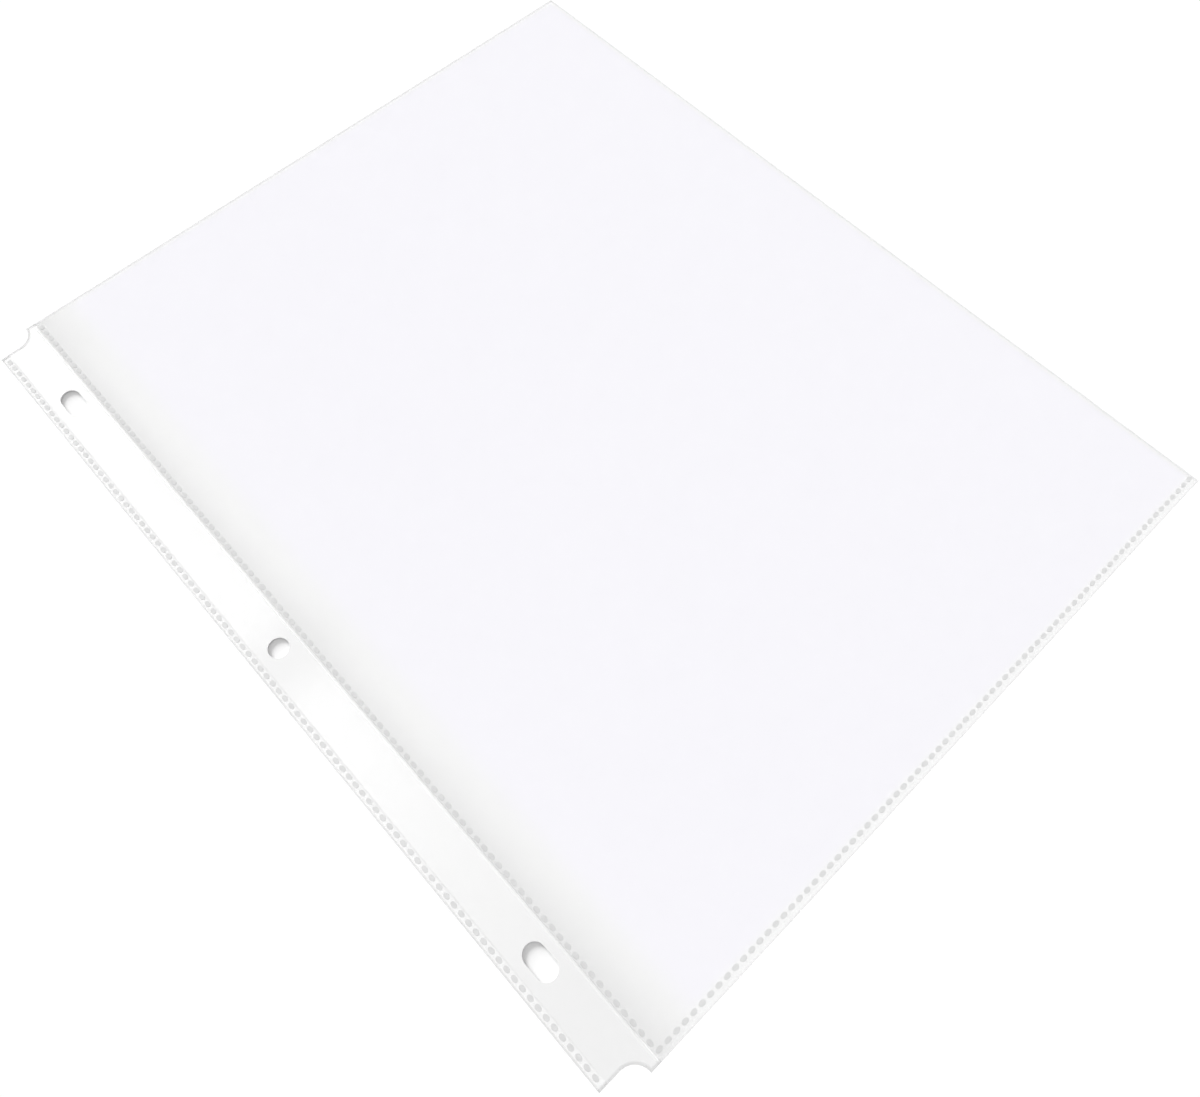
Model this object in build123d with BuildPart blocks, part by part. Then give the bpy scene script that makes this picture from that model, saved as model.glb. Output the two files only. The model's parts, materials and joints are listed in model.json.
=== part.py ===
from build123d import *
import os

os.makedirs("parts", exist_ok=True)

# A clear top-loading sheet protector for letter paper, lying on its back.
# +X runs across the page from the punched binding to the folded side, +Y runs
# up the page to the open mouth, and +Z points out of the front.
# The origin is under the middle of the sheet, on the surface it lies on.

# Driving sizes in millimetres
pocket_width = 222.0        # hinge line to the folded side
pocket_height = 285.75      # bottom edge to the open mouth
binding_width = 14.6        # hinge line to the outer edge of the binding
film_thickness = 0.10       # one layer of clear film
strip_thickness = 0.25      # white strip, which also sets the films apart
weld_band = 2.65            # outer edge of the binding to the white strip
end_notch = 5.2             # radius of the bite at each end of the binding
notch_shoulder = 3.0        # full-height part of the binding at the hinge line
ring_spacing = 107.95       # hole to hole along the binding
ring_hole_diameter = 6.0    # round hole, and the width of the end slots
ring_slot_length = 10.4     # end slots, measured over their round ends
spot_length = 2.2           # one weld spot, along its row
spot_width = 1.4            # one weld spot, across its row
spot_gap = 0.64             # bare film between two weld spots
outer_row_inset = 1.5       # outer edge of the binding to its weld row
bottom_row_inset = 2.2      # bottom edge of the pocket to its weld row
spot_margin = 0.05          # film edge at the hinge to the first weld spots
hinge_clearance = 0.075     # room left when the binding is folded square
web_clearance = 0.02        # flex line to the edge of the pocket films
overcut = 1.0               # how far cuts run past the material

# Heights of the layers above the surface
stack = 2 * film_thickness + strip_thickness
front_level = film_thickness + strip_thickness
middle_level = stack / 2

# Places across and along the page
overall_width = binding_width + pocket_width
outer_x = -overall_width / 2
hinge_x = outer_x + binding_width
fold_x = overall_width / 2
top_y = pocket_height / 2

# A square fold of the binding needs half the stack on each side of its axis
hinge_gap = stack / 2 + hinge_clearance
binding_inner_x = hinge_x - hinge_gap
shoulder_x = hinge_x - notch_shoulder
strip_outer_x = outer_x + weld_band
strip_width = binding_inner_x - strip_outer_x
ring_x = strip_outer_x + strip_width / 2

fold_radius = stack / 2
film_left_x = hinge_x + hinge_gap
film_right_x = fold_x - fold_radius
film_width = film_right_x - film_left_x
film_middle_x = film_left_x + film_width / 2

spot_pitch = spot_length + spot_gap


def spots_along(room):
    """How many weld spots fit on a row of this length."""
    return int((room + spot_gap) / spot_pitch)


# Panels of the pocket: two flat sheets of clear film
with BuildPart() as back_film:
    with BuildSketch():
        with Locations((film_middle_x, 0)):
            Rectangle(film_width, pocket_height)
    extrude(amount=film_thickness)
back_film.part.label = "back_film"
export_step(back_film.part, "parts/back_film.step")

with BuildPart() as front_film:
    with BuildSketch(Plane.XY.offset(front_level)):
        with Locations((film_middle_x, 0)):
            Rectangle(film_width, pocket_height)
    extrude(amount=film_thickness)
front_film.part.label = "front_film"
export_step(front_film.part, "parts/front_film.step")

# Side fold: the bend that carries the back panel round into the front one
with BuildPart() as side_fold:
    with BuildSketch(Plane.XZ):
        with Locations((film_right_x, middle_level)):
            Circle(fold_radius)
            Circle(fold_radius - film_thickness, mode=Mode.SUBTRACT)
            Rectangle(fold_radius, stack, align=(Align.MAX, Align.CENTER), mode=Mode.SUBTRACT)
    extrude(amount=pocket_height / 2, both=True)
side_fold.part.label = "side_fold"
export_step(side_fold.part, "parts/side_fold.step")

# Bottom weld: spots that close the bottom of the pocket
bottom_row_y = -top_y + bottom_row_inset
bottom_spots = spots_along(film_width - 2 * spot_margin)
with BuildPart() as bottom_weld:
    with BuildSketch(Plane((film_middle_x, bottom_row_y, film_thickness))):
        with GridLocations(spot_pitch, spot_pitch, bottom_spots, 1):
            SlotOverall(spot_length, spot_width)
    extrude(amount=strip_thickness)
bottom_weld.part.label = "bottom_weld"
export_step(bottom_weld.part, "parts/bottom_weld.step")

# Inner weld: spots beside the hinge line that close the pocket's binding side
inner_row_x = film_left_x + spot_margin + spot_width / 2
inner_row_start_y = bottom_row_y + spot_width / 2 + spot_gap
inner_spots = spots_along(top_y - spot_gap - inner_row_start_y)
inner_row_middle_y = inner_row_start_y + (inner_spots * spot_pitch - spot_gap) / 2
with BuildPart() as inner_weld:
    with BuildSketch(Plane((inner_row_x, inner_row_middle_y, film_thickness))):
        with GridLocations(spot_pitch, spot_pitch, 1, inner_spots):
            SlotOverall(spot_length, spot_width, rotation=90)
    extrude(amount=strip_thickness)
inner_weld.part.label = "inner_weld"
export_step(inner_weld.part, "parts/inner_weld.step")

# Cuts through the binding: a bite at each end, a round hole and two end slots
with BuildSketch() as binding_cuts:
    with BuildLine():
        bite = CenterArc((shoulder_x - end_notch, top_y), end_notch, 0, -90)
        Polyline(
            bite @ 1,
            (outer_x - overcut, top_y - end_notch),
            (outer_x - overcut, top_y + overcut),
            (shoulder_x, top_y + overcut),
            bite @ 0,
        )
    make_face()
    mirror(about=Plane.XZ)
    with Locations((ring_x, 0)):
        Circle(ring_hole_diameter / 2)
    with Locations((ring_x, ring_spacing), (ring_x, -ring_spacing)):
        SlotOverall(ring_slot_length, ring_hole_diameter, rotation=90)

# Strip sleeve: the clear film goes on past the hinge line and is folded round the strip
sleeve_bend_x = outer_x + fold_radius
sleeve_flat = binding_inner_x - sleeve_bend_x
with BuildPart() as strip_sleeve:
    with BuildSketch(Plane.XZ):
        with Locations((sleeve_bend_x, middle_level)):
            Circle(fold_radius)
            Rectangle(sleeve_flat, stack, align=(Align.MIN, Align.CENTER))
            Circle(fold_radius - film_thickness, mode=Mode.SUBTRACT)
            Rectangle(
                sleeve_flat,
                strip_thickness,
                align=(Align.MIN, Align.CENTER),
                mode=Mode.SUBTRACT,
            )
    extrude(amount=pocket_height / 2, both=True)
    extrude(binding_cuts.sketch, amount=stack + overcut, both=True, mode=Mode.SUBTRACT)
strip_sleeve.part.label = "strip_sleeve"
export_step(strip_sleeve.part, "parts/strip_sleeve.step")

# Reinforcing strip: stiff white strip inside the sleeve
with BuildPart() as reinforcing_strip:
    with BuildSketch(Plane.XY.offset(film_thickness)):
        with Locations((strip_outer_x, 0)):
            Rectangle(strip_width, pocket_height, align=(Align.MIN, Align.CENTER))
    extrude(amount=strip_thickness)
    extrude(binding_cuts.sketch, amount=stack + overcut, both=True, mode=Mode.SUBTRACT)
reinforcing_strip.part.label = "reinforcing_strip"
export_step(reinforcing_strip.part, "parts/reinforcing_strip.step")

# Outer weld: spots along the outer fold that keep the strip in its sleeve
outer_row_room = pocket_height - 2 * (end_notch + spot_gap)
outer_spots = spots_along(outer_row_room)
with BuildPart() as outer_weld:
    with BuildSketch(Plane((outer_x + outer_row_inset, 0, film_thickness))):
        with GridLocations(spot_pitch, spot_pitch, 1, outer_spots):
            SlotOverall(spot_length, spot_width, rotation=90)
    extrude(amount=strip_thickness)
outer_weld.part.label = "outer_weld"
export_step(outer_weld.part, "parts/outer_weld.step")

# Hinge web: the flex line, where both films run together from strip to pocket.
# Its free edge stays inside the circle that the pocket films' edges leave.
web_thickness = 2 * film_thickness
web_swing = hinge_gap - web_clearance
web_reach = (web_swing**2 - (web_thickness / 2) ** 2) ** 0.5
with BuildPart() as hinge_web:
    with BuildSketch(Plane.XY.offset(middle_level - web_thickness / 2)):
        with Locations((binding_inner_x, 0)):
            Rectangle(hinge_gap + web_reach, pocket_height, align=(Align.MIN, Align.CENTER))
    extrude(amount=web_thickness)
hinge_web.part.label = "hinge_web"
export_step(hinge_web.part, "parts/hinge_web.step")
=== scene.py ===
import json
import math
import bmesh
import bpy
from mathutils import Matrix, Vector
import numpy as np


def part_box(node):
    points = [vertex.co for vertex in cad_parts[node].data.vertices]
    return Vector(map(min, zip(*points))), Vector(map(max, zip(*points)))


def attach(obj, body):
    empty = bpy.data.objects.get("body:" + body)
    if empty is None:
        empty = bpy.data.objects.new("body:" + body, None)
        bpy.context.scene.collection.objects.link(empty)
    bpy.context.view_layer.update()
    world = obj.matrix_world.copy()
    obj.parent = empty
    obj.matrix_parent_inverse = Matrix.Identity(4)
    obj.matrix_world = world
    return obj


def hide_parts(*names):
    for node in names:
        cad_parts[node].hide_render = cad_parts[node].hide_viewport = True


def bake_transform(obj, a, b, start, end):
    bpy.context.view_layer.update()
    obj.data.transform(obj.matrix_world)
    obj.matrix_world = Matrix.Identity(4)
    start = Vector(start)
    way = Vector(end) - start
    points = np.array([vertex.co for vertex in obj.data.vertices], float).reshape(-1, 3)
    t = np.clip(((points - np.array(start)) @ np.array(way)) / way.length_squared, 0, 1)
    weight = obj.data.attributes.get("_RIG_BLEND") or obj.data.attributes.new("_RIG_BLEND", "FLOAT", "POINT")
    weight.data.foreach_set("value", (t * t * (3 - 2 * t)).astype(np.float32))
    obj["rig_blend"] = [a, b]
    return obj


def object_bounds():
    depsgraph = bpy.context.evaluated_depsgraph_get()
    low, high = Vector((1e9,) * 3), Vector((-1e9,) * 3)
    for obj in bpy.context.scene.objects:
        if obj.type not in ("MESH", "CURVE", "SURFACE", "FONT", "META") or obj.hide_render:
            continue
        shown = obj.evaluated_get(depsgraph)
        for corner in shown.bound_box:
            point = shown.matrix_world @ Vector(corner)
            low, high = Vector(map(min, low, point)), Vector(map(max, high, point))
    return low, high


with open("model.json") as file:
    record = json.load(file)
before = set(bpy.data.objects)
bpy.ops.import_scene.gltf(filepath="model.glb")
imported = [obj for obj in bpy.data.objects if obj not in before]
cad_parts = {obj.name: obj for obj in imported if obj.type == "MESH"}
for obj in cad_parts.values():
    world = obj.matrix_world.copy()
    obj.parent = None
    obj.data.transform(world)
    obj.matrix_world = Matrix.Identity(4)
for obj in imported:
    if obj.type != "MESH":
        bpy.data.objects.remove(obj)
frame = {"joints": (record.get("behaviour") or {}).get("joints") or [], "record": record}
cad_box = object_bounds()

# Pocket panels
# Two sheets of clear polypropylene film, hazy and faintly blue, cut square at the open mouth. They are
# welded beside the binding and along the bottom, swell apart in between and lie together at the mouth.
mm = 0.001
page_low, page_high = cad_box
joint_place = {joint["name"]: Vector(joint["pos_m"]) for joint in frame["joints"]}
hinge_x = joint_place["binding_hinge"].x
fold_x = page_high.x
top_y = page_high.y
inner_band = 1.9 * mm           # width of the band that the inner weld presses flat
bottom_band = 3.2 * mm          # width of the band that the bottom weld presses flat
panel_swell = 0.26 * mm         # how far each panel stands away from flat
mouth_dip = 0.11 * mm           # how far its edge at the mouth lies in towards the other panel
inner_reach = 28 * mm           # over which a panel rises beside the inner weld
fold_reach = 14 * mm            # over which it rises beside the fold
bottom_reach = 42 * mm          # over which it rises above the bottom weld
mouth_reach = 38 * mm           # over which it falls again towards the mouth
weld_pinch = 0.10 * mm          # how far a welded band is pressed in towards the other panel
pinch_reach = 11 * mm           # over which the panel comes out of it again
ripple_height = 0.10 * mm       # slow waves in the film
ripple_scale = 11.0             # waves to a metre
panel_cell = 2.0 * mm           # spacing of the panel's mesh
same_point = 0.01 * mm          # mesh points closer than this are made one
page_map = "page"               # UV map that holds each point's place on the flat page
film_index = 1.49               # refractive index of polypropylene
film_sheen = 0.6                # strength of what the film mirrors
film_rough = (0.05, 0.10)       # roughness of its glossiest and its dullest patches
patch_scale = 45.0              # patches to a metre
die_lines = 700.0               # fine lines to a metre, left along the film by the die
die_draw = 0.015                # how much less they change along the page than across it
die_depth = 0.02 * mm
die_strength = 0.06             # share of that depth that shows
noise_span = (0.3, 0.7)         # between which nearly all values of a noise lie


def wire(tree, socket, value):
    """Fills an input with another node's output or with a plain value."""
    if isinstance(value, bpy.types.NodeSocket):
        tree.links.new(value, socket)
    else:
        socket.default_value = value


def add_node(tree, kind, inputs=None, **settings):
    """A new node with its own settings, and its inputs filled by name or by number."""
    node = tree.nodes.new(kind)
    for key, value in settings.items():
        setattr(node, key, value)
    for key, value in (inputs or {}).items():
        wire(tree, node.inputs[key], value)
    return node


def calc(tree, operation, *values):
    """One sum on plain numbers or on other nodes' outputs."""
    return add_node(tree, "ShaderNodeMath", dict(enumerate(values)), operation=operation).outputs[0]


def ease(tree, value, start, end, low=0.0, high=1.0):
    """Goes smoothly from low to high as value goes from start to end, and stays there."""
    inputs = {"Value": value, "From Min": start, "From Max": end, "To Min": low, "To Max": high}
    return add_node(tree, "ShaderNodeMapRange", inputs, interpolation_type="SMOOTHSTEP").outputs[0]


def noise(tree, place, scale, detail):
    """Cloudy values around one half, with about so many clouds to a metre."""
    inputs = {"Vector": place, "Scale": scale, "Detail": detail}
    return add_node(tree, "ShaderNodeTexNoise", inputs).outputs[0]


def grey(level):
    """A plain grey as a colour."""
    return (level, level, level, 1.0)


def blend_colours(tree, share, first, second):
    """The first colour where share is 0 and the second where it is 1."""
    inputs = {0: share, 6: first, 7: second}
    return add_node(tree, "ShaderNodeMix", inputs, data_type="RGBA").outputs[2]


def emboss(tree, shader, height, strength, depth):
    """Gives a finish its fine relief."""
    inputs = {"Strength": strength, "Distance": depth, "Height": height}
    wire(tree, shader.inputs["Normal"], add_node(tree, "ShaderNodeBump", inputs).outputs["Normal"])


def new_finish(name):
    """A new material, with its tree and its shader."""
    material = bpy.data.materials.new(name)
    material.use_nodes = True
    return material, material.node_tree, material.node_tree.nodes["Principled BSDF"]


def film_material(name):
    """Clear film with faint lines along it from the die, for a piece to colour by its place on the page.

    Gives the material, its tree and its shader, and the place on the flat page in millimetres:
    across from the hinge line, and up from the middle.
    """
    material, tree, shader = new_finish(name)
    page = add_node(tree, "ShaderNodeUVMap", uv_map=page_map).outputs["UV"]
    point = add_node(tree, "ShaderNodeSeparateXYZ", {"Vector": page}).outputs
    across = calc(tree, "DIVIDE", calc(tree, "SUBTRACT", point["X"], hinge_x), mm)
    up = calc(tree, "DIVIDE", point["Y"], mm)
    drawn = add_node(tree, "ShaderNodeMapping", {"Vector": page, "Scale": (1.0, die_draw, 1.0)})
    lines = noise(tree, drawn.outputs[0], die_lines, detail=3.0)
    patches = noise(tree, page, patch_scale, detail=4.0)
    emboss(tree, shader, lines, die_strength, die_depth)
    wire(tree, shader.inputs["Roughness"], ease(tree, patches, *noise_span, *film_rough))
    shader.inputs["IOR"].default_value = film_index
    shader.inputs["Specular IOR Level"].default_value = film_sheen
    return material, tree, shader, across, up


def pocket_film():
    """Film of the panels: painted shade greys it beside the inner weld, and a fine dark line runs along its
    edges.
    """
    haze = 0.13                 # share of the view that one face of the film covers
    edge_haze = 0.045           # what it gains along the edges
    mouth_haze = 0.10           # what it gains again along the mouth
    blue_film = (0.818, 0.796, 0.902, 1.0)
    plain_film = grey(0.818)
    # Painted shade: the film is painted grey beside the inner weld, fading out over shade_reach from the
    # hinge line.
    painted_weld_shade_grey = grey(0.46)
    edge_grey = grey(0.66)
    mouth_grey = grey(0.63)
    # Millimetres from the hinge line or from an edge, between which each tone comes in
    blue_from_hinge = (9.0, 17.0)
    blue_from_open_edge = (0.5, 2.2)
    blue_from_bottom = (2.0, 4.5)
    shade_from_hinge = (0.5, 2.4)
    line_from_edge = (0.7, 0.0)
    line_from_mouth = (1.0, 0.1)
    shade_reach = 15.0          # millimetres from the hinge line to the end of the grey
    shade_power = 1.5           # how steeply the grey fades on the way there
    shade_least = 0.68          # share of the grey at the hinge line itself
    material, tree, shader, across, up = film_material("clear_pocket_film")
    from_fold = calc(tree, "SUBTRACT", (fold_x - hinge_x) / mm, across)
    from_bottom = calc(tree, "ADD", top_y / mm, up)
    from_mouth = calc(tree, "SUBTRACT", top_y / mm, up)
    from_open_edge = calc(tree, "MINIMUM", from_fold, from_mouth)
    from_edge = calc(tree, "MINIMUM", from_open_edge, from_bottom)
    blue = calc(
        tree, "MULTIPLY",
        ease(tree, across, *blue_from_hinge),
        ease(tree, from_open_edge, *blue_from_open_edge),
    )
    blue = calc(tree, "MULTIPLY", blue, ease(tree, from_bottom, *blue_from_bottom))
    # Painted shade beside the inner weld, eased down to shade_least right at the hinge line.
    to_shade_end = calc(tree, "SUBTRACT", 1.0, calc(tree, "DIVIDE", across, shade_reach))
    near_weld = calc(tree, "MAXIMUM", to_shade_end, 0.0)
    shade = calc(
        tree, "MULTIPLY",
        calc(tree, "POWER", near_weld, shade_power),
        ease(tree, across, *shade_from_hinge, shade_least, 1.0),
    )
    edge_line = ease(tree, from_edge, *line_from_edge)
    mouth_line = ease(tree, from_mouth, *line_from_mouth)
    colour = blend_colours(tree, blue, plain_film, blue_film)
    colour = blend_colours(tree, shade, colour, painted_weld_shade_grey)
    colour = blend_colours(tree, edge_line, colour, edge_grey)
    colour = blend_colours(tree, mouth_line, colour, mouth_grey)
    wire(tree, shader.inputs["Base Color"], colour)
    covered = calc(tree, "MULTIPLY_ADD", edge_line, edge_haze, haze)
    wire(tree, shader.inputs["Alpha"], calc(tree, "MULTIPLY_ADD", mouth_line, mouth_haze, covered))
    return material


def open_tree(name, sockets):
    """A new geometry tree with these named inputs, and the inputs' values inside it."""
    tree = bpy.data.node_groups.new(name, "GeometryNodeTree")
    for socket, kind in sockets.items():
        tree.interface.new_socket(name=socket, in_out="INPUT", socket_type="NodeSocket" + kind)
    tree.interface.new_socket(name="Piece", in_out="OUTPUT", socket_type="NodeSocketGeometry")
    return tree, tree.nodes.new("NodeGroupInput").outputs


def close_tree(tree, geometry, finish):
    """Ends a geometry tree in one real mesh with its finish on it."""
    real = add_node(tree, "GeometryNodeRealizeInstances", {"Geometry": geometry}).outputs[0]
    done = add_node(tree, "GeometryNodeSetMaterial", {"Geometry": real, "Material": finish}).outputs[0]
    wire(tree, tree.nodes.new("NodeGroupOutput").inputs[0], done)


def panel_tree():
    """One panel as a grid of film that stays flat at its welds and its fold and swells between them."""
    tree, given = open_tree("pocket_panel", {
        "Width": "Float", "Height": "Float", "Columns": "Int", "Rows": "Int", "Centre": "Vector",
        "Film": "Float", "Swell": "Float", "Ripple": "Float", "Ripple Scale": "Float",
        "Inner Band": "Float", "Inner Reach": "Float", "Fold Reach": "Float",
        "Bottom Band": "Float", "Bottom Reach": "Float", "Mouth Dip": "Float", "Mouth Reach": "Float",
        "Pinch": "Float", "Pinch Reach": "Float", "Finish": "Material",
    })
    grid = add_node(tree, "GeometryNodeMeshGrid", {
        "Size X": given["Width"], "Size Y": given["Height"],
        "Vertices X": given["Columns"], "Vertices Y": given["Rows"],
    })
    position = add_node(tree, "GeometryNodeInputPosition").outputs[0]
    point = add_node(tree, "ShaderNodeSeparateXYZ", {0: position}).outputs
    from_weld = calc(tree, "MULTIPLY_ADD", given["Width"], 0.5, point["X"])
    from_fold = calc(tree, "SUBTRACT", given["Width"], from_weld)
    from_bottom = calc(tree, "MULTIPLY_ADD", given["Height"], 0.5, point["Y"])
    from_mouth = calc(tree, "SUBTRACT", given["Height"], from_bottom)

    # The free film swells and ripples, and dips at the mouth.
    inner_end = calc(tree, "ADD", given["Inner Band"], given["Inner Reach"])
    bottom_end = calc(tree, "ADD", given["Bottom Band"], given["Bottom Reach"])
    off_sides = calc(
        tree, "MULTIPLY",
        ease(tree, from_weld, given["Inner Band"], inner_end),
        ease(tree, from_fold, 0.0, given["Fold Reach"]),
    )
    free = calc(tree, "MULTIPLY", off_sides, ease(tree, from_bottom, given["Bottom Band"], bottom_end))
    waves = noise(tree, position, given["Ripple Scale"], detail=1.0)
    ripple = calc(tree, "MULTIPLY", calc(tree, "SUBTRACT", waves, 0.5), given["Ripple"])
    inside = ease(tree, from_mouth, 0.0, given["Mouth Reach"])
    swell = calc(tree, "MULTIPLY", inside, calc(tree, "ADD", given["Swell"], ripple))
    dip = calc(tree, "MULTIPLY", calc(tree, "SUBTRACT", 1.0, inside), given["Mouth Dip"])
    loose = calc(tree, "MULTIPLY", free, calc(tree, "SUBTRACT", swell, dip))

    # The welded bands are pressed in.
    inner_out = calc(tree, "ADD", given["Inner Band"], given["Pinch Reach"])
    bottom_out = calc(tree, "ADD", given["Bottom Band"], given["Pinch Reach"])
    off_welds = calc(
        tree, "MULTIPLY",
        ease(tree, from_weld, given["Inner Band"], inner_out),
        ease(tree, from_bottom, given["Bottom Band"], bottom_out),
    )
    pressed = calc(
        tree, "MULTIPLY",
        calc(tree, "SUBTRACT", 1.0, off_welds),
        ease(tree, from_fold, 0.0, given["Pinch Reach"]),
    )
    lift = calc(tree, "SUBTRACT", loose, calc(tree, "MULTIPLY", pressed, given["Pinch"]))
    rise = add_node(tree, "ShaderNodeCombineXYZ", {"Z": lift}).outputs[0]

    # The sheet is shaped, moved to its place and mapped, and then gets the thickness of the film.
    shaped = add_node(tree, "GeometryNodeSetPosition", {
        "Geometry": grid.outputs["Mesh"], "Offset": rise,
    }).outputs[0]
    placed = add_node(tree, "GeometryNodeSetPosition", {
        "Geometry": shaped, "Offset": given["Centre"],
    }).outputs[0]
    mapped = add_node(tree, "GeometryNodeStoreNamedAttribute", {
        "Geometry": placed, "Name": page_map, "Value": position,
    }, data_type="FLOAT2", domain="CORNER").outputs[0]
    thick = add_node(tree, "ShaderNodeCombineXYZ", {"Z": given["Film"]}).outputs[0]
    outer = add_node(tree, "GeometryNodeExtrudeMesh", {
        "Mesh": mapped, "Offset": thick, "Offset Scale": 1.0, "Individual": False,
    }, mode="FACES")
    inner = add_node(tree, "GeometryNodeFlipFaces", {"Mesh": mapped})
    both = tree.nodes.new("GeometryNodeJoinGeometry")
    for part in (inner, outer):
        wire(tree, both.inputs[0], part.outputs["Mesh"])
    closed = add_node(tree, "GeometryNodeMergeByDistance", {
        "Geometry": both.outputs[0], "Distance": same_point,
    }).outputs[0]
    smooth = add_node(tree, "GeometryNodeSetShadeSmooth", {
        "Geometry": closed, "Shade Smooth": True,
    }).outputs[0]
    edged = add_node(tree, "GeometryNodeSetShadeSmooth", {
        "Geometry": smooth, "Selection": outer.outputs["Side"], "Shade Smooth": False,
    }).outputs[0]
    close_tree(tree, edged, given["Finish"])
    return tree


def add_object(name, data):
    """A new object in the scene."""
    made = bpy.data.objects.new(name, data)
    bpy.context.scene.collection.objects.link(made)
    return made


def settle(piece):
    """Turns a piece with its modifiers into a plain mesh."""
    bpy.context.view_layer.update()
    depsgraph = bpy.context.evaluated_depsgraph_get()
    mesh = bpy.data.meshes.new_from_object(
        piece.evaluated_get(depsgraph), preserve_all_data_layers=True, depsgraph=depsgraph
    )
    piece.modifiers.clear()
    piece.data = mesh
    mesh.name = piece.name
    return piece


def grown(name, tree, **inputs):
    """A piece made by a node tree whose named inputs are given here with _ for each space."""
    piece = add_object(name, bpy.data.meshes.new(name))
    maker = piece.modifiers.new(name, "NODES")
    maker.node_group = tree
    names = {item.name.replace(" ", "_"): item.identifier for item in tree.interface.items_tree}
    for key, value in inputs.items():
        maker[names[key]] = value
    return settle(piece)


def let_light_through(piece):
    """Clear film takes next to no light from what lies under it."""
    piece.visible_shadow = False
    piece.visible_diffuse = False


panel_film = pocket_film()
panel_maker = panel_tree()


def film_panel(name, node, side):
    """One panel in the place of its flat solid, swelling to the front (side 1) or the back (side -1)."""
    low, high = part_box(node)
    width = high.x - low.x
    height = high.y - low.y
    panel = grown(
        name, panel_maker,
        Width=width, Height=height,
        Columns=round(width / panel_cell) + 1, Rows=round(height / panel_cell) + 1,
        Centre=((low.x + high.x) / 2, (low.y + high.y) / 2, low.z),
        Film=high.z - low.z, Swell=side * panel_swell,
        Ripple=ripple_height, Ripple_Scale=ripple_scale,
        Inner_Band=inner_band, Inner_Reach=inner_reach, Fold_Reach=fold_reach,
        Bottom_Band=bottom_band, Bottom_Reach=bottom_reach,
        Mouth_Dip=side * mouth_dip, Mouth_Reach=mouth_reach,
        Pinch=side * weld_pinch, Pinch_Reach=pinch_reach, Finish=panel_film,
    )
    let_light_through(panel)
    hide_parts(node)
    return panel


def eased(share):
    """A share from 0 to 1 that starts and ends slowly."""
    return share * share * (3 - 2 * share)


back_panel = film_panel("back_panel", "back_film", -1)
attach(back_panel, "pocket")

front_panel = film_panel("front_panel", "front_film", 1)
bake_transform(front_panel, "pocket", "front", start=(0, -top_y, 0), end=(0, top_y, 0))
# The mouth opens in the middle, while the welds and the fold hold the panel's other three sides.
mouth_slack = 45 * mm           # above the bottom weld, over which the panel comes free
mouth_power = 1.2               # how steeply the opening falls off towards its sides
front_low, front_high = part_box("front_film")
free_left = hinge_x + inner_band
free_bottom = -top_y + bottom_band
for vertex, hold in zip(front_panel.data.vertices, front_panel.data.attributes["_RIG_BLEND"].data):
    sideways = min(max((vertex.co.x - free_left) / (front_high.x - free_left), 0.0), 1.0)
    upwards = min(max((vertex.co.y - free_bottom) / mouth_slack, 0.0), 1.0)
    hold.value = math.sin(math.pi * sideways) ** mouth_power * eased(upwards)

# Folded side
# The edge away from the rings has no weld: one web of film is folded over there.
# The bend is tight and a little greyer than the flat film.
fold_low, fold_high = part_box("side_fold")
fold_radius = (fold_high.z - fold_low.z) / 2
fold_middle = (fold_high.z + fold_low.z) / 2
film = front_high.z - front_low.z
bend_steps = 14                 # straight bits in a bend of half a turn
sharp_angle = 30                # degrees between two faces, past which their corner stays sharp


def bend(centre_x, centre_z, radius, start, end):
    """Points of a round bend in the film's section, from one angle in degrees to another."""
    angles = [math.radians(start + (end - start) * k / bend_steps) for k in range(bend_steps + 1)]
    return [(centre_x + radius * math.cos(a), centre_z + radius * math.sin(a)) for a in angles]


def prism(name, outlines, low, high, along):
    """Closed solids that carry each outline from low to high along Y or Z."""
    shape = bmesh.new()
    for outline in outlines:
        ends = []
        for level in (low, high):
            corners = [(a, level, b) if along == "Y" else (a, b, level) for a, b in outline]
            ends.append([shape.verts.new(corner) for corner in corners])
        near, far = ends
        shape.faces.new(near)
        shape.faces.new(reversed(far))
        for k in range(len(outline)):
            shape.faces.new((near[k - 1], near[k], far[k], far[k - 1]))
    bmesh.ops.recalc_face_normals(shape, faces=shape.faces)
    mesh = bpy.data.meshes.new(name)
    shape.to_mesh(mesh)
    shape.free()
    return add_object(name, mesh)


def soften(mesh):
    """Shades a mesh smoothly and leaves only its true corners sharp."""
    mesh.shade_smooth()
    mesh.set_sharp_from_angle(angle=math.radians(sharp_angle))


def lay_on_page(piece):
    """Keeps each corner's place on the flat page in the piece's own map."""
    mesh = piece.data
    layer = mesh.uv_layers.get(page_map) or mesh.uv_layers.new(name=page_map)
    for loop in mesh.loops:
        layer.uv[loop.index].vector = mesh.vertices[loop.vertex_index].co.xy
    soften(mesh)


def fold_film():
    """The same film, seen through its bend."""
    haze = 0.10                 # share of the view that one face of the bend covers
    bend_greys = (grey(0.62), grey(0.70))
    mottle_scale = 900.0
    material, tree, shader = film_material("clear_fold_film")[:3]
    place = add_node(tree, "ShaderNodeTexCoord").outputs["Object"]
    mottle = noise(tree, place, mottle_scale, detail=2.0)
    wire(tree, shader.inputs["Base Color"], blend_colours(tree, mottle, *bend_greys))
    shader.inputs["Alpha"].default_value = haze
    return material


fold_section = bend(fold_low.x, fold_middle, fold_radius, -90, 90)
fold_section += bend(fold_low.x, fold_middle, fold_radius - film, 90, -90)
folded_side = prism("folded_side", [fold_section], fold_low.y, fold_high.y, "Y")
lay_on_page(folded_side)
folded_side.data.materials.append(fold_film())
let_light_through(folded_side)
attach(folded_side, "pocket")
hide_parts("side_fold")

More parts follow.
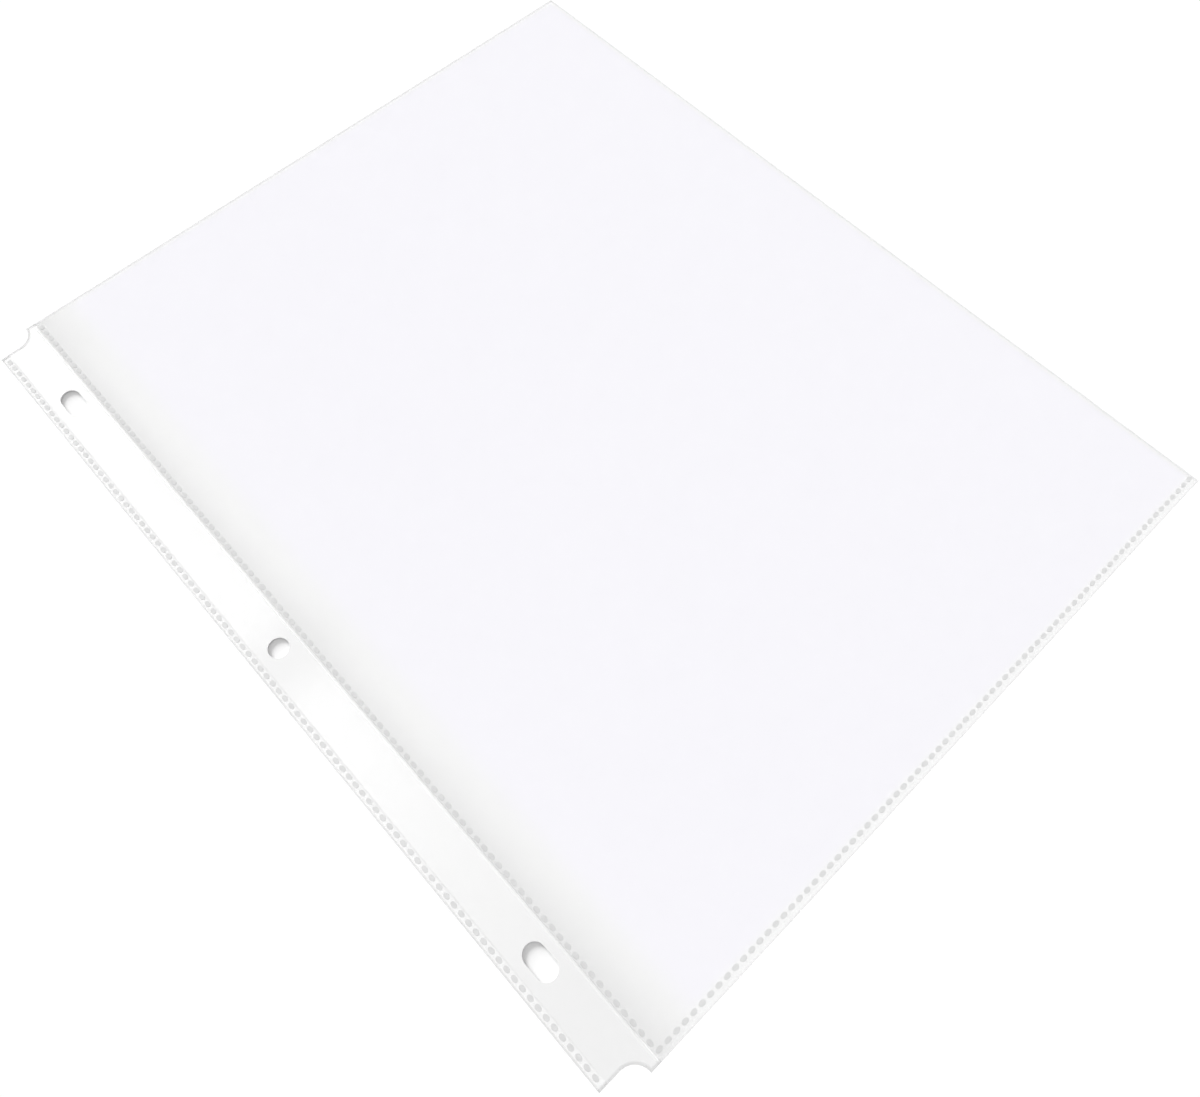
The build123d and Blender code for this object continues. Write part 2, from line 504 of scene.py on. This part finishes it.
# Reinforcing strip
# A stiff strip of smooth white polypropylene inside the film, punched with the film for the binder's
# rings: a round hole in the middle, a slot at each end, and a rounded bite out of each outer corner.
strip_low, strip_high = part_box("reinforcing_strip")
mounts = {mount["name"]: mount for mount in frame["record"]["mounts"]}
ring_place = Vector(mounts["middle_ring_hole"]["pos_m"])
ring_radius = mounts["middle_ring_hole"]["dims"]["r_mm"] * mm
slot_reach = mounts["end_ring_slots"]["dims"]["slot_length_mm"] * mm / 2 - ring_radius
ring_spacing = mounts["end_ring_slots"]["dims"]["spacing_y_mm"] * mm / 2
bite_radius = 5.2 * mm          # rounded bite at each end of the binding
bite_shoulder = 3.0 * mm        # full-height part of the binding beside the hinge line
strip_clearance = 0.012 * mm    # between the strip and the film around it
strip_tuck = 0.2 * mm           # how far the strip runs on under the film's slope beside the hinge line
foot_length = 9.4 * mm          # bottom end of the strip, a mesh of its own that throws no shadow
punch_reach = 2 * mm            # how far the punch runs above and below the table's level
past_edge = 3 * mm              # how far its bites run out past the binding's edges
hole_steps = 48                 # straight bits round a hole


def ring_hole(middle_y, reach):
    """Outline of a ring hole, drawn out by reach to each side along the strip."""
    outline = []
    for k in range(hole_steps):
        angle = 2 * math.pi * (k + 0.5) / hole_steps
        stretch = reach if math.sin(angle) > 0 else -reach
        outline.append((
            ring_place.x + ring_radius * math.cos(angle),
            middle_y + stretch + ring_radius * math.sin(angle),
        ))
    return outline


def end_bite(side):
    """Outline of the bite at the top end, where side is 1, or at the bottom end, where it is -1."""
    centre = hinge_x - bite_shoulder - bite_radius
    outline = [
        (centre + bite_radius, side * (top_y + past_edge)),
        (page_low.x - past_edge, side * (top_y + past_edge)),
        (page_low.x - past_edge, side * (top_y - bite_radius)),
    ]
    for k in range(hole_steps // 4 + 1):
        angle = math.radians(-90 + 360 * k / hole_steps)
        outline.append((
            centre + bite_radius * math.cos(angle),
            side * (top_y + bite_radius * math.sin(angle)),
        ))
    return outline


def rectangle(left, right, near, far):
    """Corners of a rectangle on the page."""
    return [(left, near), (right, near), (right, far), (left, far)]


def white_plastic():
    """Opaque white strip: smooth, with a faint grain along its length from the extruder."""
    strip_whites = (grey(0.87), grey(0.89))
    strip_rough = (0.04, 0.07)
    strip_index = 1.5
    cloud_scale = 120.0
    grain_scale = 900.0
    grain_draw = 0.03           # how much less the grain changes along the strip than across it
    grain_depth = 0.01 * mm
    grain_strength = 0.03       # share of that depth that shows
    material, tree, shader = new_finish("white_strip_plastic")
    place = add_node(tree, "ShaderNodeTexCoord").outputs["Object"]
    drawn = add_node(tree, "ShaderNodeMapping", {"Vector": place, "Scale": (1.0, grain_draw, 1.0)})
    grain = noise(tree, drawn.outputs[0], grain_scale, detail=3.0)
    cloud = noise(tree, place, cloud_scale, detail=3.0)
    wire(tree, shader.inputs["Base Color"], blend_colours(tree, cloud, *strip_whites))
    wire(tree, shader.inputs["Roughness"], ease(tree, grain, *noise_span, *strip_rough))
    emboss(tree, shader, grain, grain_strength, grain_depth)
    shader.inputs["IOR"].default_value = strip_index
    return material


punch_outlines = [
    ring_hole(0.0, 0.0), ring_hole(ring_spacing, slot_reach), ring_hole(-ring_spacing, slot_reach),
    end_bite(1), end_bite(-1),
]
punch = prism("punch", punch_outlines, -punch_reach, punch_reach, "Z")


def punched(piece):
    """Cuts the ring holes and the end bites through a piece."""
    cut = piece.modifiers.new("punched", "BOOLEAN")
    cut.operation = "DIFFERENCE"
    cut.object = punch
    return piece


strip_finish = white_plastic()
strip_foot_y = strip_low.y + foot_length
strip_inner_x = strip_high.x + strip_tuck
strip_back_z = strip_low.z + strip_clearance
strip_front_z = strip_high.z - strip_clearance
for name, low_y, high_y in (
    ("punched_strip", strip_foot_y, strip_high.y), ("strip_foot", strip_low.y, strip_foot_y)
):
    outline = rectangle(strip_low.x, strip_inner_x, low_y, high_y)
    strip = settle(punched(prism(name, [outline], strip_back_z, strip_front_z, "Z")))
    lay_on_page(strip)
    strip.data.materials.append(strip_finish)
    strip.visible_shadow = name != "strip_foot"
    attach(strip, "binding")
    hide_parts("reinforcing_strip")

# Clear sleeve
# The panels' film goes on past the hinge line and is folded round the white strip, with its bend outside
# it. On both sides of the strip the two layers come down to a welded band, and the binding folds beside
# the inner one.
sleeve_low, sleeve_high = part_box("strip_sleeve")
pocket_edge_x = front_low.x
strip_edge_x = sleeve_high.x
slope_steps = 10                # along each slope from the strip down to a welded band
outer_slope = 0.45 * mm         # width of the slope outside the strip
crisp = 0.1 * mm                # flat margin that keeps the shading of the bends off the flat film
sleeve_radius = (sleeve_high.z - sleeve_low.z) / 2 - weld_pinch
sleeve_middle = (sleeve_high.z + sleeve_low.z) / 2
bend_x = sleeve_low.x + sleeve_radius


def slope(start_x, end_x, start_z, end_z):
    """Points of one face of the film where it runs smoothly from one height to another."""
    points = []
    for k in range(slope_steps + 1):
        share = k / slope_steps
        points.append((
            start_x + (end_x - start_x) * share,
            start_z + (end_z - start_z) * eased(share),
        ))
    return points


def sleeve_face(height):
    """One face of the sleeve, from the pocket's welded band over the strip to the outer weld."""
    pressed = height + (weld_pinch if height < sleeve_middle else -weld_pinch)
    points = slope(pocket_edge_x, strip_edge_x, pressed, height)
    points += [(strip_edge_x - crisp, height), (strip_low.x + crisp, height)]
    points += slope(strip_low.x, strip_low.x - outer_slope, height, pressed)
    points.append((bend_x + crisp, pressed))
    return points


def sleeve_film():
    """Film of the sleeve: plain, with fine grey lines at its bend and its cut ends, painted shade along the
    hinge line, and a painted highlight just inside it over the strip's edge.
    """
    haze = 0.085                # share of the view that one face of the film covers
    # The gain along the hinge line is painted shade.
    line_haze = 0.07            # what it gains in the lines along the bend and the hinge line
    # Painted highlight: a whiter line on the film just inside the strip's inner edge, stronger high on the
    # page.
    painted_highlight_haze = (0.06, 0.22)   # what it gains in the white line, low and high on the page
    end_haze = (0.11, 0.24)     # what it gains in the line round the bottom end and the top end
    plain_film = grey(0.87)
    band_grey = grey(0.70)
    painted_highlight_white = grey(0.98)
    line_grey = grey(0.45)
    # Painted shade: the film is painted grey in the groove along the hinge line.
    painted_groove_shade_grey = grey(0.52)
    # Millimetres from the bend, from a cut end or past the hinge line, between which each tone comes in
    line_from_bend = (0.75, 0.1)
    grey_from_bend = (2.9, 1.6)
    line_from_end = (1.1, 0.3)
    shade_past_hinge = (-0.05, 0.2)
    highlight_past_hinge = (-1.0, -0.65)
    highlight_to_hinge = (-0.05, -0.35)
    # Millimetres up the page, between which the gain goes over from low to high
    highlight_change = (-70.0, 30.0)
    end_change = (-50.0, 50.0)
    material, tree, shader, across, up = film_material("clear_sleeve_film")
    from_bend = calc(tree, "SUBTRACT", across, (page_low.x - hinge_x) / mm)
    from_end = calc(tree, "SUBTRACT", top_y / mm, calc(tree, "ABSOLUTE", up))
    bite_middle = -(bite_shoulder + bite_radius) / mm
    past_bite = calc(tree, "MAXIMUM", calc(tree, "SUBTRACT", across, bite_middle), 0.0)
    past_squared = calc(tree, "MULTIPLY", past_bite, past_bite)
    reach = calc(tree, "SQRT", calc(tree, "MULTIPLY_ADD", from_end, from_end, past_squared))
    from_bite = calc(tree, "SUBTRACT", reach, bite_radius / mm)
    bend_line = ease(tree, from_bend, *line_from_bend)
    outer_band = ease(tree, from_bend, *grey_from_bend)
    end_line = ease(tree, calc(tree, "MINIMUM", from_end, from_bite), *line_from_end)
    # Painted shade in the groove along the hinge line
    painted_hinge_shade = ease(tree, across, *shade_past_hinge)
    # Painted highlight just inside the strip's inner edge
    painted_highlight_line = calc(
        tree, "MULTIPLY",
        ease(tree, across, *highlight_past_hinge),
        ease(tree, across, *highlight_to_hinge),
    )
    colour = blend_colours(tree, outer_band, plain_film, band_grey)
    colour = blend_colours(tree, painted_highlight_line, colour, painted_highlight_white)
    colour = blend_colours(tree, calc(tree, "MAXIMUM", bend_line, end_line), colour, line_grey)
    colour = blend_colours(tree, painted_hinge_shade, colour, painted_groove_shade_grey)
    wire(tree, shader.inputs["Base Color"], colour)
    covered = calc(tree, "MULTIPLY_ADD", calc(tree, "MAXIMUM", bend_line, painted_hinge_shade), line_haze, haze)
    highlight_gain = ease(tree, up, *highlight_change, *painted_highlight_haze)
    covered = calc(tree, "MULTIPLY_ADD", painted_highlight_line, highlight_gain, covered)
    end_gain = ease(tree, up, *end_change, *end_haze)
    wire(tree, shader.inputs["Alpha"], calc(tree, "MULTIPLY_ADD", end_line, end_gain, covered))
    return material


sleeve_section = sleeve_face(sleeve_high.z)
sleeve_section += bend(bend_x, sleeve_middle, sleeve_radius, 90, 270)
sleeve_section += sleeve_face(sleeve_low.z)[::-1]
sleeve_section += sleeve_face(sleeve_low.z + film)
sleeve_section += bend(bend_x, sleeve_middle, sleeve_radius - film, 270, 90)
sleeve_section += sleeve_face(sleeve_high.z - film)[::-1]
clear_sleeve = settle(punched(prism("clear_sleeve", [sleeve_section], sleeve_low.y, sleeve_high.y, "Y")))
lay_on_page(clear_sleeve)
clear_sleeve.data.materials.append(sleeve_film())
let_light_through(clear_sleeve)
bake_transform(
    clear_sleeve, "binding", "pocket",
    start=(strip_edge_x, 0, sleeve_middle), end=(pocket_edge_x, 0, sleeve_middle),
)
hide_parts("strip_sleeve", "hinge_web")
bpy.data.objects.remove(punch)

# Weld spots
# Rows of small ovals where a heated wheel has melted the films into each other.
# Each spot is dished, with a low rim of film pushed up around it, and it shows on both faces.
spot_length = 2.06 * mm
spot_width = 1.38 * mm
spot_gap = 0.78 * mm
spot_sides = 12
spot_pitch = spot_length + spot_gap
# Rings of a spot from its dish outwards: share of its outline, and millimetres above the film.
spot_rings = ((0.62, 0.006), (0.86, 0.010), (1.0, -0.003))


def weld_spot():
    """One spot, lying along Y about the middle of the films."""
    half = (page_high.z - page_low.z) / 2 - weld_pinch
    levels = [(share, half + height * mm) for share, height in spot_rings]
    levels += [(share, -level) for share, level in reversed(levels)]
    shape = bmesh.new()
    rings = []
    for share, level in levels:
        ring = []
        for k in range(spot_sides):
            angle = 2 * math.pi * k / spot_sides
            corner = (
                share * spot_width / 2 * math.cos(angle),
                share * spot_length / 2 * math.sin(angle),
                level,
            )
            ring.append(shape.verts.new(corner))
        rings.append(ring)
    shape.faces.new(rings[0])
    shape.faces.new(reversed(rings[-1]))
    for upper, lower in zip(rings, rings[1:]):
        for k in range(spot_sides):
            shape.faces.new((upper[k - 1], lower[k - 1], lower[k], upper[k]))
    mesh = bpy.data.meshes.new("weld_spot")
    shape.to_mesh(mesh)
    shape.free()
    soften(mesh)
    return bpy.data.objects.new("weld_spot", mesh)


def weld_tree():
    """A row of spots, each turned along the row."""
    tree, given = open_tree("weld_row", {
        "Spot": "Object", "Count": "Int", "First": "Vector", "Step": "Vector", "Finish": "Material",
    })
    spot = add_node(tree, "GeometryNodeObjectInfo", {"Object": given["Spot"]}).outputs["Geometry"]
    line = add_node(tree, "GeometryNodeMeshLine", {
        "Count": given["Count"], "Start Location": given["First"], "Offset": given["Step"],
    }).outputs[0]
    turn = add_node(tree, "FunctionNodeAlignRotationToVector", {
        "Vector": given["Step"],
    }, axis="Y", pivot_axis="Z").outputs[0]
    row = add_node(tree, "GeometryNodeInstanceOnPoints", {
        "Points": line, "Instance": spot, "Rotation": turn,
    }).outputs[0]
    close_tree(tree, row, given["Finish"])
    return tree


def fused_film():
    """Melted film: greyer and hazier than the clear film, and uneven."""
    haze = 0.6                  # share of the view that one face of a spot covers
    spot_greys = (grey(0.64), grey(0.73))
    spot_rough = (0.35, 0.5)
    cloud_scale = 900.0
    cloud_depth = 0.03 * mm
    cloud_strength = 0.2        # share of that depth that shows
    material, tree, shader = new_finish("fused_weld_film")
    place = add_node(tree, "ShaderNodeTexCoord").outputs["Object"]
    cloud = noise(tree, place, cloud_scale, detail=2.0)
    wire(tree, shader.inputs["Base Color"], blend_colours(tree, cloud, *spot_greys))
    wire(tree, shader.inputs["Roughness"], ease(tree, cloud, *noise_span, *spot_rough))
    emboss(tree, shader, cloud, cloud_strength, cloud_depth)
    shader.inputs["IOR"].default_value = film_index
    shader.inputs["Alpha"].default_value = haze
    return material


spot_shape = weld_spot()
spot_finish = fused_film()
row_maker = weld_tree()
for node, body in (("bottom_weld", "pocket"), ("inner_weld", "pocket"), ("outer_weld", "binding")):
    row_low, row_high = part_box(node)
    along = Vector((1, 0, 0)) if row_high.x - row_low.x > row_high.y - row_low.y else Vector((0, 1, 0))
    row_length = (row_high - row_low).dot(along)
    count = round((row_length + spot_gap) / spot_pitch)
    first = (row_low + row_high) / 2 - along * spot_pitch * (count - 1) / 2
    spots = grown(
        node + "_spots", row_maker,
        Spot=spot_shape, Count=count, First=first, Step=along * spot_pitch, Finish=spot_finish,
    )
    let_light_through(spots)
    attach(spots, body)
    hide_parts(node)
bpy.data.objects.remove(spot_shape)

# Floor
# A plain white surface just under the pocket's swollen back. A view of it gains a little light,
# so that it comes out white.
floor_level = -0.40 * mm
floor_size = 6.0
floor_white = grey(0.90)
floor_lift = 0.12


def seen_directly(tree):
    """1 for rays from the camera, from mirrors and through glass, and 0 for the light on the object."""
    rays = tree.nodes.new("ShaderNodeLightPath").outputs
    seen = calc(tree, "MAXIMUM", rays["Is Camera Ray"], rays["Is Glossy Ray"])
    return calc(tree, "MAXIMUM", seen, rays["Is Transmission Ray"])


half_floor = floor_size / 2
floor_corners = rectangle(-half_floor, half_floor, -half_floor, half_floor)
floor_mesh = bpy.data.meshes.new("floor")
floor_mesh.from_pydata([(x, y, floor_level) for x, y in floor_corners], [], [(0, 1, 2, 3)])
floor = add_object("floor", floor_mesh)
floor_paint, floor_tree, floor_shader = new_finish("floor_paint")
floor_shader.inputs["Base Color"].default_value = floor_white
floor_shader.inputs["Roughness"].default_value = 1.0
floor_shader.inputs["Specular IOR Level"].default_value = 0.0
floor_shader.inputs["Emission Color"].default_value = grey(1.0)
floor_view = calc(floor_tree, "MULTIPLY", seen_directly(floor_tree), floor_lift)
wire(floor_tree, floor_shader.inputs["Emission Strength"], floor_view)
floor_mesh.materials.append(floor_paint)

# Light
# A pale room, a low soft key from beyond the mouth, and a long card overhead that the strip mirrors.
# The card's glow fades towards the near end and has one dimmer band.
scene = bpy.context.scene
room_light = 0.50
key_strength = 5.25
key_height = 17.5               # degrees above the floor
key_spread = 24.0               # degrees across
card_height = 1.5
card_near, card_far = -0.15, 1.9
card_left, card_right = -0.55, -0.118
card_glow = 4.3
# Places along the card, each with its share of the glow
card_steps = (
    (card_near, 0.25), (-0.09, 0.25), (0.45, 1.0), (0.58, 1.0),
    (0.68, 0.45), (0.72, 0.45), (0.79, 1.0), (card_far, 1.0),
)

room = bpy.data.worlds.new("room")
room.use_nodes = True
scene.world = room
room_background = room.node_tree.nodes["Background"]
room_background.inputs["Color"].default_value = grey(1.0)
room_view = ease(room.node_tree, seen_directly(room.node_tree), 0.0, 1.0, room_light, 1.0)
wire(room.node_tree, room_background.inputs["Strength"], room_view)

key = bpy.data.lights.new("key", "SUN")
key.energy = key_strength
key.angle = math.radians(key_spread)
key_lamp = add_object("key", key)
key_lamp.rotation_euler = (math.radians(key_height - 90), 0, 0)
key_lamp.visible_glossy = False

card_corners = [(card_left, card_near), (card_left, card_far)]
card_corners += [(card_right, card_far), (card_right, card_near)]
card_mesh = bpy.data.meshes.new("card")
card_mesh.from_pydata([(x, y, card_height) for x, y in card_corners], [], [(0, 1, 2, 3)])
card = add_object("card", card_mesh)
card_paint = bpy.data.materials.new("card_glow")
card_paint.use_nodes = True
card_tree = card_paint.node_tree
card_tree.nodes.clear()
card_place = add_node(card_tree, "ShaderNodeTexCoord").outputs["Object"]
card_y = add_node(card_tree, "ShaderNodeSeparateXYZ", {0: card_place}).outputs["Y"]
card_share = add_node(card_tree, "ShaderNodeMapRange", {
    "Value": card_y, "From Min": card_near, "From Max": card_far,
}).outputs[0]
card_fade = add_node(card_tree, "ShaderNodeValToRGB", {"Fac": card_share})
card_stops = card_fade.color_ramp.elements
while len(card_stops) < len(card_steps):
    card_stops.new(0.5)
for stop, (step_y, glow) in zip(card_stops, card_steps):
    stop.position = (step_y - card_near) / (card_far - card_near)
    stop.color = grey(glow)
card_light = add_node(card_tree, "ShaderNodeEmission", {
    "Color": card_fade.outputs[0], "Strength": card_glow,
}).outputs[0]
wire(card_tree, card_tree.nodes.new("ShaderNodeOutputMaterial").inputs[0], card_light)
card_mesh.materials.append(card_paint)
card.visible_camera = False
card.visible_diffuse = False
card.visible_shadow = False

# Camera
# It stands over the near end of the binding and looks up the page, as the photograph does.
# Its place, direction and lens were worked out from the sheet's four edges in the photograph.
camera_place = Vector((-100.6, -120.4, 250.56)) * mm
camera_ahead = Vector((0.27503, 0.29960, -0.91356))
camera_up = Vector((0.62456, 0.66673, 0.40668))
camera_data = bpy.data.cameras.new("camera")
camera_data.sensor_width = 36.0
camera_data.lens = 28.735
camera_data.clip_start = 0.01
camera = add_object("camera", camera_data)
camera_side = camera_ahead.cross(camera_up).normalized()
camera_turn = Matrix((camera_side, camera_side.cross(camera_ahead), -camera_ahead)).transposed()
camera.matrix_world = Matrix.Translation(camera_place) @ camera_turn.to_4x4()
scene.camera = camera
scene.view_settings.view_transform = "Standard"
